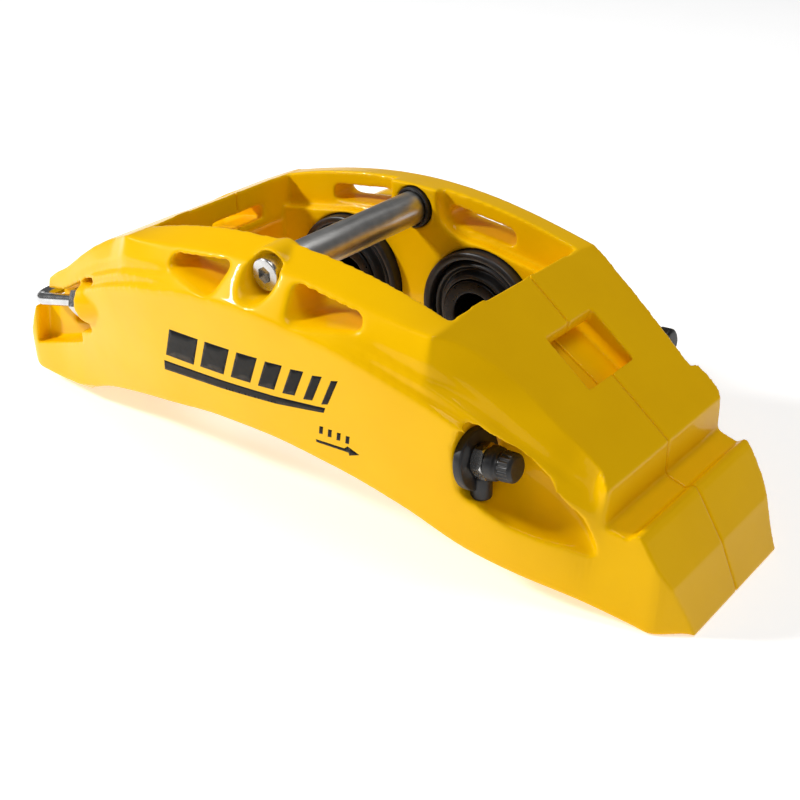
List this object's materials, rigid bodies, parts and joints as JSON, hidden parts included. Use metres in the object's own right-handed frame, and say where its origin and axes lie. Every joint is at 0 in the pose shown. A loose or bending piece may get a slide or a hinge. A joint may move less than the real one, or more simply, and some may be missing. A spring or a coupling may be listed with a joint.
{
  "type": "brake caliper",
  "caption": "Fixed disc brake caliper: two bolted yellow halves arch over a long pad window with round pistons, boots, a bridge bolt, bleed screws and a fluid pipe.",
  "frame": {"origin": "below the middle of the whole caliper, on the plane that both feet stand on", "axes": "+X along the caliper's length toward the bleed screws' end, +Y along the wheel's axle toward the vehicle (inboard half), +Z away from the wheel's centre, out through the pad window"},
  "size_m": [0.298, 0.1238, 0.0958],
  "materials": {
    "yellow_paint": "glossy paint over machined aluminium",
    "bright_steel": "plain polished steel",
    "black_steel": "black oxide",
    "piston_metal": "hard black anodised",
    "black_rubber": "matt moulded rubber"
  },
  "bodies": {
    "housing": {"bleed_cap_ring_inboard": "black_rubber", "bleed_cap_ring_outboard": "black_rubber", "body_bolt_1": "black_steel", "body_bolt_2": "black_steel", "body_bolt_3": "black_steel", "body_bolt_4": "black_steel", "bridge_bolt": "bright_steel", "bridge_ring_inboard": "black_rubber", "bridge_ring_outboard": "black_rubber", "bridge_sleeve": "bright_steel", "crossover_pipe": "bright_steel", "dust_boot_inboard_left": "black_rubber", "dust_boot_inboard_right": "black_rubber", "dust_boot_outboard_left": "black_rubber", "dust_boot_outboard_right": "black_rubber", "inboard_half": "yellow_paint", "outboard_half": "yellow_paint", "piston_seal_inboard_left": "black_rubber", "piston_seal_inboard_right": "black_rubber", "piston_seal_outboard_left": "black_rubber", "piston_seal_outboard_right": "black_rubber", "tube_nut_inboard": "bright_steel", "tube_nut_outboard": "bright_steel"},
    "piston_outboard_left": {"piston_outboard_left": "piston_metal"},
    "piston_outboard_right": {"piston_outboard_right": "piston_metal"},
    "bleed_screw_outboard": {"bleed_screw_outboard": "bright_steel"},
    "bleed_cap_outboard": {"bleed_cap_outboard": "black_rubber"},
    "piston_inboard_left": {"piston_inboard_left": "piston_metal"},
    "piston_inboard_right": {"piston_inboard_right": "piston_metal"},
    "bleed_screw_inboard": {"bleed_screw_inboard": "bright_steel"},
    "bleed_cap_inboard": {"bleed_cap_inboard": "black_rubber"}
  },
  "joints": [
    {"name": "stroke_outboard_left", "type": "slide", "parent": "housing", "child": "piston_outboard_left", "axis": [0, 1, 0], "range_m": [0, 0.008], "deforming": ["dust_boot_outboard_left"]},
    {"name": "stroke_outboard_right", "type": "slide", "parent": "housing", "child": "piston_outboard_right", "axis": [0, 1, 0], "range_m": [0, 0.008], "deforming": ["dust_boot_outboard_right"]},
    {"name": "stroke_inboard_left", "type": "slide", "parent": "housing", "child": "piston_inboard_left", "axis": [0, -1, 0], "range_m": [0, 0.008], "deforming": ["dust_boot_inboard_left"]},
    {"name": "stroke_inboard_right", "type": "slide", "parent": "housing", "child": "piston_inboard_right", "axis": [0, -1, 0], "range_m": [0, 0.008], "deforming": ["dust_boot_inboard_right"]},
    {"name": "bleed_turn_outboard", "type": "hinge", "parent": "housing", "child": "bleed_screw_outboard", "pos_m": [0.08, -0.045, 0.0455], "axis": [0.9925, 0, 0.1219], "range_deg": [0, 180]},
    {"name": "cap_pull_outboard", "type": "slide", "parent": "bleed_screw_outboard", "child": "bleed_cap_outboard", "axis": [0.9925, 0, 0.1219], "range_m": [0, 0.005]},
    {"name": "bleed_turn_inboard", "type": "hinge", "parent": "housing", "child": "bleed_screw_inboard", "pos_m": [0.08, 0.0465, 0.05], "axis": [0.9925, 0, 0.1219], "range_deg": [0, 180]},
    {"name": "cap_pull_inboard", "type": "slide", "parent": "bleed_screw_inboard", "child": "bleed_cap_inboard", "axis": [0.9925, 0, 0.1219], "range_m": [0, 0.005]}
  ],
  "couplings": [
    {"joint": "stroke_outboard_right", "follows": "stroke_outboard_left", "ratio": 1},
    {"joint": "stroke_inboard_left", "follows": "stroke_outboard_left", "ratio": 1},
    {"joint": "stroke_inboard_right", "follows": "stroke_outboard_left", "ratio": 1}
  ]
}
